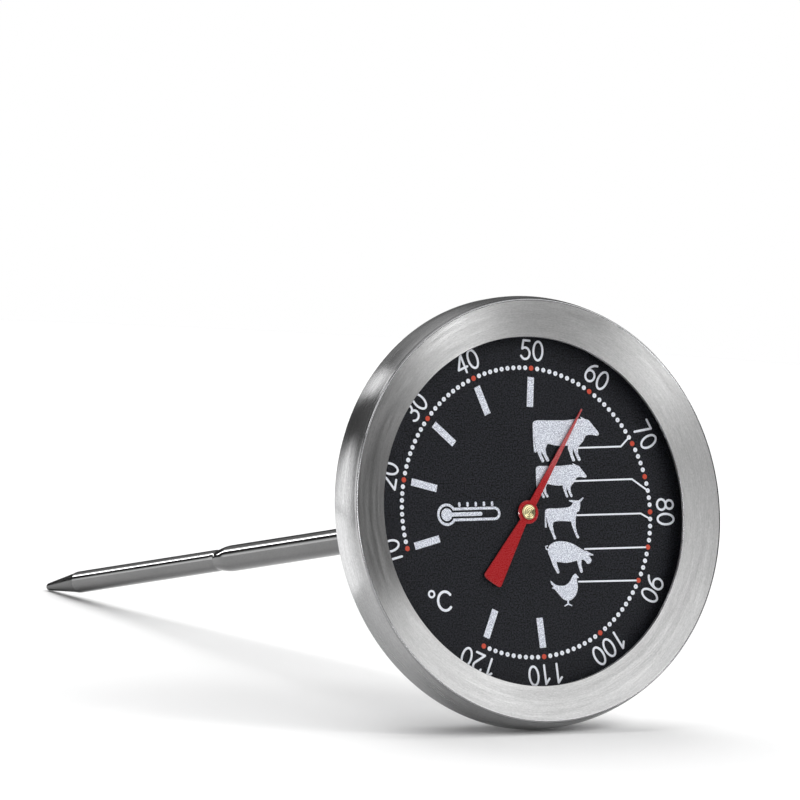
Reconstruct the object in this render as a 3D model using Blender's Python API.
"""Dial meat thermometer with a bimetal stem: steel case, glass, dial, pointer, stem and coil.

The pieces are drawn in the dial's own frame, in millimetres: x towards 3 o'clock, y towards
12 o'clock, z out of the dial, with z = 0 on the dial's printed face and r measured from the
stem's axis. One empty carries that frame and lays the thermometer down as it lies on a
table, on the back edge of its rim and on its tip.
"""
import math

import bmesh
import bpy
from mathutils import Vector

MM = 0.001
GAP = 0.3           # between two pieces that touch in the real object
RUNNING_FIT = 0.06  # radial clearance of the spindle in its bearings
PRESS_FIT = 0.1     # radial clearance left where a piece is pressed on to the spindle

# rim and face
RIM_R = 34.0
RIM_WALL = 0.9
RIM_FRONT_R = 33.35
RIM_FRONT_Z = 4.0
RIM_SHOULDER_R = 33.8
RIM_SHOULDER_Z = 2.0
RIM_WIDEST_Z = 0.0
RIM_BACK_Z = -1.9
RIM_FRONT_ROUND = 0.35
RIM_BACK_ROUND = 0.4
LIP_R = 27.4
LIP_TOP_Z = 2.5
LIP_THICKNESS = 0.45
ROLLED_LIP = 0.5
CASE_R = 28.5
CASE_WALL = 0.8
CASE_BACK_Z = -9.3
CASE_ROUND = 2.0
FLANGE_THICKNESS = 0.4
DIAL_THICKNESS = 0.4
DIAL_HOLE_R = 1.2
SPACER_INNER_R = 29.3
GLASS_THICKNESS = 0.75
SEAL_WIDTH = 2.0

# stem
STEM_R = 2.1
POINT_R = 1.75
STEM_WALL = 0.3
SWAGE_START_Z = -90.3
SWAGE_END_Z = -94.3
TUBE_END_Z = -139.4
TIP_Z = -150.0
TIP_ROUND = 0.6
SPIGOT_LENGTH = 2.4
COLLAR_FLANGE_R = 7.0
COLLAR_NECK_R = 4.6
COLLAR_NOSE_Z = -17.0

# movement
SPINDLE_R = 0.5
SPINDLE_TOP_Z = 0.7
COIL_TOP_Z = -104.5
COIL_BOTTOM_Z = -133.5
COIL_R = 0.82
COIL_STRIP = 0.14
COIL_TURNS = 18
POINTER_Z = 0.4
POINTER_THICKNESS = 0.25
POINTER_LENGTH = 19.4
POINTER_HALF_WIDTH = 0.68
POINTER_TIP_HALF_WIDTH = 0.12
TAIL_LENGTH = 13.2
TAIL_HALF_WIDTH = 1.85
TAIL_ROOT_HALF_WIDTH = 0.65
POINTER_DISC_R = 1.85
CAP_R = 1.2
CAP_TOP_Z = 1.0

# dial scale: 0 degrees is 12 o'clock and angles grow clockwise
MARK_50_DEG = 6.4
DEG_PER_C_ABOVE_50 = 2.828
REST_READING_C = 60.0

RIM_SIDES = 64
SEAT_SIDES = 48
STEM_SIDES = 24
SPINDLE_SIDES = 16


def clear_scene():
    for item in list(bpy.data.objects):
        bpy.data.objects.remove(item, do_unlink=True)


def make_material(name, colour, metallic, roughness, alpha=1.0):
    material = bpy.data.materials.new(name)
    material.use_nodes = True
    shader = material.node_tree.nodes["Principled BSDF"]
    shader.inputs["Base Color"].default_value = (*colour, 1.0)
    shader.inputs["Metallic"].default_value = metallic
    shader.inputs["Roughness"].default_value = roughness
    shader.inputs["Alpha"].default_value = alpha
    return material


def add_piece(name, bm, material, parent):
    """Turn a bmesh in millimetres into a named object in the dial's frame."""
    bmesh.ops.recalc_face_normals(bm, faces=bm.faces)
    bmesh.ops.scale(bm, vec=Vector((MM, MM, MM)), verts=bm.verts)
    mesh = bpy.data.meshes.new(name)
    bm.to_mesh(mesh)
    bm.free()
    mesh.shade_smooth()
    mesh.set_sharp_from_angle(angle=math.radians(30.0))
    mesh.materials.append(material)
    piece = bpy.data.objects.new(name, mesh)
    piece.parent = parent
    bpy.context.collection.objects.link(piece)
    return piece


def arc(centre_r, centre_z, radius, start_deg, end_deg, steps=4):
    """Points of a round corner in a turned profile."""
    points = []
    for step in range(steps + 1):
        angle = math.radians(start_deg + (end_deg - start_deg) * step / steps)
        points.append((centre_r + radius * math.cos(angle), centre_z + radius * math.sin(angle)))
    return points


def turned(profile, sides, closed=True):
    """Revolve a profile of (r, z) points round the z axis.

    A closed profile is the section of a ring. An open one starts and ends on the axis.
    The first flat is centred on 6 o'clock, so a rim rests on a flat and not on a corner.
    """
    bm = bmesh.new()
    rings = []
    for r, z in profile:
        if r == 0.0:
            rings.append([bm.verts.new((0.0, 0.0, z))])
            continue
        ring = []
        for side in range(sides):
            angle = math.tau * (side + 0.5) / sides - math.pi / 2.0
            ring.append(bm.verts.new((r * math.cos(angle), r * math.sin(angle), z)))
        rings.append(ring)
    pairs = list(zip(rings, rings[1:]))
    if closed:
        pairs.append((rings[-1], rings[0]))
    for low, high in pairs:
        for side in range(sides):
            after = (side + 1) % sides
            corners = [low[side % len(low)], low[after % len(low)]]
            corners += [high[after % len(high)], high[side % len(high)]]
            bm.faces.new(list(dict.fromkeys(corners)))
    return bm


def plate(outline, hole, z_low, z_high):
    """A flat plate with a hole through it, between two heights."""
    bm = bmesh.new()
    edges = []
    for loop in (outline, hole):
        verts = [bm.verts.new((x, y, z_low)) for x, y in loop]
        for index, vert in enumerate(verts):
            edges.append(bm.edges.new((vert, verts[(index + 1) % len(verts)])))
    bmesh.ops.triangle_fill(bm, edges=edges, use_beauty=True)
    raised = bmesh.ops.extrude_face_region(bm, geom=bm.faces[:])
    top = [item for item in raised["geom"] if isinstance(item, bmesh.types.BMVert)]
    bmesh.ops.translate(bm, verts=top, vec=Vector((0.0, 0.0, z_high - z_low)))
    return bm


def circle(radius, sides, start_deg=0.0):
    points = []
    for side in range(sides):
        angle = math.radians(start_deg) + math.tau * side / sides
        points.append((radius * math.cos(angle), radius * math.sin(angle)))
    return points


def clock_rotation(degrees):
    """Rotation about z that turns 12 o'clock clockwise by the given angle."""
    return -math.radians(degrees)


# ---------------------------------------------------------------- case and face

def rim_profile():
    """Rim section: a dished front face, a wall that swells towards the back, and a rolled back lip."""
    wall_r = RIM_R - RIM_WALL
    under_z = LIP_TOP_Z - LIP_THICKNESS
    back_r = CASE_R + 2 * GAP
    profile = [(LIP_R, under_z), (LIP_R, LIP_TOP_Z - 0.15), (LIP_R + 0.2, LIP_TOP_Z)]
    edge_r = RIM_FRONT_R - RIM_FRONT_ROUND
    profile += arc(edge_r, RIM_FRONT_Z - RIM_FRONT_ROUND, RIM_FRONT_ROUND, 90.0, 0.0)
    profile += [(RIM_SHOULDER_R, RIM_SHOULDER_Z), (RIM_R, RIM_WIDEST_Z)]
    profile += arc(RIM_R - RIM_BACK_ROUND, RIM_BACK_Z + RIM_BACK_ROUND, RIM_BACK_ROUND, 0.0, -90.0, 3)
    profile += [(back_r, RIM_BACK_Z), (back_r, RIM_BACK_Z + ROLLED_LIP)]
    profile += [(wall_r, RIM_BACK_Z + ROLLED_LIP), (wall_r, under_z)]
    return profile


def case_profile():
    """Case cup: a flange under the dial, a straight wall, a rounded corner and the back."""
    flange_r = RIM_R - RIM_WALL - GAP
    flange_top = -DIAL_THICKNESS - GAP
    flange_under = flange_top - FLANGE_THICKNESS
    inner_r = CASE_R - CASE_WALL
    inner_back = CASE_BACK_Z + CASE_WALL
    hole_r = COLLAR_NECK_R + GAP
    profile = [(inner_r, flange_top), (flange_r, flange_top), (flange_r, flange_under)]
    profile += [(CASE_R, flange_under)]
    profile += arc(CASE_R - CASE_ROUND, CASE_BACK_Z + CASE_ROUND, CASE_ROUND, 0.0, -90.0)
    profile += [(hole_r, CASE_BACK_Z), (hole_r, inner_back)]
    inner_round = CASE_ROUND - CASE_WALL
    profile += arc(inner_r - inner_round, inner_back + inner_round, inner_round, -90.0, 0.0)
    return profile


def washer_profile(inner_r, outer_r, z_low, z_high):
    return [(inner_r, z_low), (outer_r, z_low), (outer_r, z_high), (inner_r, z_high)]


def build_case(body):
    steel = make_material("brushed_steel", (0.62, 0.62, 0.63), 1.0, 0.28)
    add_piece("bezel_ring", turned(rim_profile(), RIM_SIDES), steel, body)

    case_steel = make_material("case_steel", (0.56, 0.56, 0.57), 1.0, 0.35)
    add_piece("case_cup", turned(case_profile(), RIM_SIDES), case_steel, body)

    seat_r = RIM_R - RIM_WALL - GAP
    glass_top = LIP_TOP_Z - LIP_THICKNESS - GAP
    glass_bottom = glass_top - GLASS_THICKNESS
    glass_r = seat_r - SEAL_WIDTH - GAP
    glass = make_material("glass", (1.0, 1.0, 1.0), 0.0, 0.03, alpha=0.25)
    disc = [(0.0, glass_bottom), (glass_r, glass_bottom), (glass_r, glass_top), (0.0, glass_top)]
    add_piece("lens", turned(disc, RIM_SIDES, closed=False), glass, body)

    rubber = make_material("seal_rubber", (0.02, 0.02, 0.02), 0.0, 0.7)
    seal = washer_profile(seat_r - SEAL_WIDTH, seat_r, glass_bottom, glass_top)
    add_piece("lens_gasket", turned(seal, SEAT_SIDES), rubber, body)

    spacer_steel = make_material("spacer_black", (0.03, 0.03, 0.032), 0.0, 0.5)
    spacer = washer_profile(SPACER_INNER_R, seat_r, GAP, glass_bottom - GAP)
    add_piece("spacer_ring", turned(spacer, SEAT_SIDES), spacer_steel, body)

    dial_black = make_material("dial_black", (0.012, 0.012, 0.014), 0.0, 0.45)
    dial = washer_profile(DIAL_HOLE_R, seat_r, -DIAL_THICKNESS, 0.0)
    add_piece("dial_plate", turned(dial, SEAT_SIDES), dial_black, body)


# ---------------------------------------------------------------- stem

def build_collar(body):
    """Collar that holds the stem, its seal outside the case and its nut inside."""
    bore_r = STEM_R + GAP
    seal_z = CASE_BACK_Z - GAP
    flange_z = seal_z - 0.8 - GAP
    neck_top = CASE_BACK_Z + CASE_WALL + 2.8
    steel = make_material("collar_steel", (0.6, 0.6, 0.61), 1.0, 0.25)
    nose_r = STEM_R + 1.2
    profile = [(bore_r, COLLAR_NOSE_Z), (nose_r, COLLAR_NOSE_Z), (nose_r + 0.6, COLLAR_NOSE_Z + 3.5)]
    profile += [(COLLAR_FLANGE_R - 0.5, flange_z - 1.6), (COLLAR_FLANGE_R, flange_z - 1.1)]
    profile += [(COLLAR_FLANGE_R, flange_z), (COLLAR_NECK_R, flange_z)]
    profile += [(COLLAR_NECK_R, neck_top), (bore_r, neck_top)]
    add_piece("stem_collar", turned(profile, STEM_SIDES), steel, body)

    fibre = make_material("seal_fibre", (0.05, 0.05, 0.052), 0.0, 0.8)
    seal = washer_profile(COLLAR_NECK_R + GAP, COLLAR_FLANGE_R, seal_z - 0.8, seal_z)
    add_piece("collar_seal", turned(seal, STEM_SIDES), fibre, body)

    brass = make_material("nut_brass", (0.72, 0.55, 0.26), 1.0, 0.3)
    nut_low = CASE_BACK_Z + CASE_WALL + GAP
    nut = plate(circle(7.2, 6, 30.0), circle(COLLAR_NECK_R + GAP, STEM_SIDES), nut_low, nut_low + 2.0)
    add_piece("collar_nut", nut, brass, body)


def build_stem(body):
    steel = make_material("polished_steel", (0.66, 0.66, 0.67), 1.0, 0.12)
    top = CASE_BACK_Z + CASE_WALL + 1.5
    profile = [(STEM_R, top), (STEM_R, SWAGE_START_Z), (POINT_R, SWAGE_END_Z), (POINT_R, TUBE_END_Z)]
    profile += [(r - STEM_WALL, z) for r, z in reversed(profile)]
    add_piece("stem_tube", turned(profile, STEM_SIDES), steel, body)

    add_piece("probe_tip", turned(tip_profile(), STEM_SIDES, closed=False), steel, body)


def tip_profile():
    """Pointed plug: a rounded point, a long cone, a shoulder and a spigot in the tube."""
    shoulder = TUBE_END_Z - GAP
    spigot_r = POINT_R - STEM_WALL - PRESS_FIT
    slope = math.degrees(math.atan2(POINT_R - TIP_ROUND, shoulder - TIP_Z - TIP_ROUND))
    profile = [(0.0, TIP_Z)]
    profile += arc(0.0, TIP_Z + TIP_ROUND, TIP_ROUND, -90.0, -slope, 3)[1:]
    spigot_top = shoulder + SPIGOT_LENGTH
    profile += [(POINT_R, shoulder), (spigot_r, shoulder), (spigot_r, spigot_top), (0.0, spigot_top)]
    return profile


def build_bearings(body):
    """Bushes that guide the spindle, and the anchor at the coil's lower end."""
    brass = make_material("bearing_brass", (0.75, 0.58, 0.3), 1.0, 0.3)
    bore_r = SPINDLE_R + RUNNING_FIT
    wide_r = STEM_R - STEM_WALL - PRESS_FIT
    narrow_r = POINT_R - STEM_WALL - PRESS_FIT
    places = {
        "upper_bearing": (wide_r, -12.0, -8.5),
        "middle_bearing": (wide_r, -55.0, -52.5),
        "lower_bearing": (narrow_r, -101.5, -99.0),
    }
    for name, (outer_r, low, high) in places.items():
        bush = washer_profile(bore_r, outer_r, low, high)
        add_piece(name, turned(bush, SPINDLE_SIDES), brass, body)

    anchor_low = COIL_BOTTOM_Z - GAP - 3.0
    anchor_high = COIL_BOTTOM_Z - GAP
    anchor = [(0.0, anchor_low), (narrow_r, anchor_low), (narrow_r, anchor_high), (0.0, anchor_high)]
    add_piece("coil_anchor", turned(anchor, SPINDLE_SIDES, closed=False), brass, body)


def build_coil(body):
    """Bimetal strip wound into a helix that twists as it warms."""
    bimetal = make_material("bimetal", (0.55, 0.48, 0.36), 1.0, 0.4)
    turn_sides = 12
    pitch = (COIL_TOP_Z - COIL_BOTTOM_Z) / (COIL_TURNS + 1)
    strip_height = pitch * 0.65
    bm = bmesh.new()
    previous = None
    for step in range(COIL_TURNS * turn_sides + 1):
        turn = step / turn_sides
        angle = math.tau * turn
        low = COIL_BOTTOM_Z + pitch * turn + (pitch - strip_height) / 2.0
        section = []
        for r, z in washer_profile(COIL_R - COIL_STRIP, COIL_R, low, low + strip_height):
            section.append(bm.verts.new((r * math.cos(angle), r * math.sin(angle), z)))
        if previous:
            for corner in range(4):
                after = (corner + 1) % 4
                bm.faces.new((previous[corner], previous[after], section[after], section[corner]))
        else:
            bm.faces.new(section)
        previous = section
    bm.faces.new(previous)
    add_piece("bimetal_coil", bm, bimetal, body)


# ---------------------------------------------------------------- movement

def pointer_outline():
    """Needle, boss and fan-shaped tail, seen from the front with the needle at 12 o'clock."""
    waist_y = math.sqrt(POINTER_DISC_R ** 2 - POINTER_HALF_WIDTH ** 2)
    waist_deg = math.degrees(math.atan2(waist_y, POINTER_HALF_WIDTH))
    tail_root_deg = -math.degrees(math.acos(TAIL_ROOT_HALF_WIDTH / POINTER_DISC_R))
    fan_deg = math.degrees(math.asin(TAIL_HALF_WIDTH / TAIL_LENGTH))
    right = [(POINTER_TIP_HALF_WIDTH, POINTER_LENGTH)]
    right += arc(0.0, 0.0, POINTER_DISC_R, waist_deg, tail_root_deg, 8)
    tail = arc(0.0, 0.0, TAIL_LENGTH, -90.0 + fan_deg, -90.0, 3)
    left = [(-x, y) for x, y in reversed(right + tail[:-1])]
    return right + tail + left


def build_movement(pivot):
    """Everything that turns with the coil's free end. The pivot empty is the joint's axis."""
    steel = make_material("spindle_steel", (0.55, 0.55, 0.56), 1.0, 0.25)
    coil_collar_low = COIL_TOP_Z + GAP
    coil_collar_high = coil_collar_low + 1.6
    rod = [(0.0, coil_collar_low), (SPINDLE_R, coil_collar_low), (SPINDLE_R, SPINDLE_TOP_Z)]
    rod += [(0.0, SPINDLE_TOP_Z)]
    add_piece("spindle", turned(rod, SPINDLE_SIDES, closed=False), steel, pivot)

    brass = make_material("movement_brass", (0.78, 0.6, 0.32), 1.0, 0.28)
    press_r = SPINDLE_R + PRESS_FIT
    collar = washer_profile(press_r, COIL_R + 0.2, coil_collar_low, coil_collar_high)
    add_piece("coil_collar", turned(collar, SPINDLE_SIDES), brass, pivot)
    thrust = washer_profile(press_r, STEM_R - STEM_WALL - 2 * PRESS_FIT, -8.2, -7.2)
    add_piece("thrust_collar", turned(thrust, SPINDLE_SIDES), brass, pivot)

    red = make_material("pointer_red", (0.42, 0.02, 0.025), 0.0, 0.3)
    blade = plate(pointer_outline(), circle(press_r, SPINDLE_SIDES), POINTER_Z,
                  POINTER_Z + POINTER_THICKNESS)
    add_piece("pointer", blade, red, pivot)

    cap_low = POINTER_Z + POINTER_THICKNESS + GAP / 3.0
    cap_brass = make_material("cap_brass", (0.8, 0.68, 0.45), 1.0, 0.25)
    bore_top = SPINDLE_TOP_Z + PRESS_FIT
    cap = [(press_r, cap_low), (CAP_R, cap_low), (CAP_R, CAP_TOP_Z - 0.12), (CAP_R - 0.12, CAP_TOP_Z)]
    cap = [(0.0, CAP_TOP_Z)] + cap[::-1] + [(press_r, bore_top), (0.0, bore_top)]
    add_piece("pointer_cap", turned(cap, SPINDLE_SIDES, closed=False), cap_brass, pivot)


# ---------------------------------------------------------------- resting pose

def lowest_height(profile, tilt):
    """Lowest point of a turned profile once its axis is tilted, against the dial's centre."""
    return min(z * math.sin(tilt) - r * math.cos(tilt) for r, z in profile)


def resting_tilt():
    """Angle at which the rim's lowest flat and the tip touch the table together."""
    flat = math.cos(math.pi / RIM_SIDES)
    tip_flat = math.cos(math.pi / STEM_SIDES)
    rim = [(r * flat, z) for r, z in rim_profile()]
    tip = [(r * tip_flat, z) for r, z in tip_profile()]
    low, high = 0.0, math.pi / 4.0
    for _ in range(50):
        middle = (low + high) / 2.0
        if lowest_height(rim, middle) < lowest_height(tip, middle):
            low = middle
        else:
            high = middle
    return middle, -lowest_height(rim, middle)


def lay_down(body, tilt, height):
    """Rest the body on z = 0 with its bounding box centred on the origin in x and y."""
    body.rotation_euler = (math.pi / 2.0 - tilt, 0.0, 0.0)
    body.location = (0.0, 0.0, height * MM)
    bpy.context.view_layer.update()
    depths = []
    for item in bpy.data.objects:
        if item.type == "MESH":
            depths += [(item.matrix_world @ vert.co).y for vert in item.data.vertices]
    body.location.y = -(min(depths) + max(depths)) / 2.0


def main():
    clear_scene()
    body = bpy.data.objects.new("thermometer", None)
    bpy.context.collection.objects.link(body)
    pivot = bpy.data.objects.new("pointer_pivot", None)
    pivot.parent = body
    reading_deg = MARK_50_DEG + (REST_READING_C - 50.0) * DEG_PER_C_ABOVE_50
    pivot.rotation_euler = (0.0, 0.0, clock_rotation(reading_deg))
    bpy.context.collection.objects.link(pivot)

    build_case(body)
    build_collar(body)
    build_stem(body)
    build_bearings(body)
    build_coil(body)
    build_movement(pivot)
    tilt, height = resting_tilt()
    lay_down(body, tilt, height)


main()
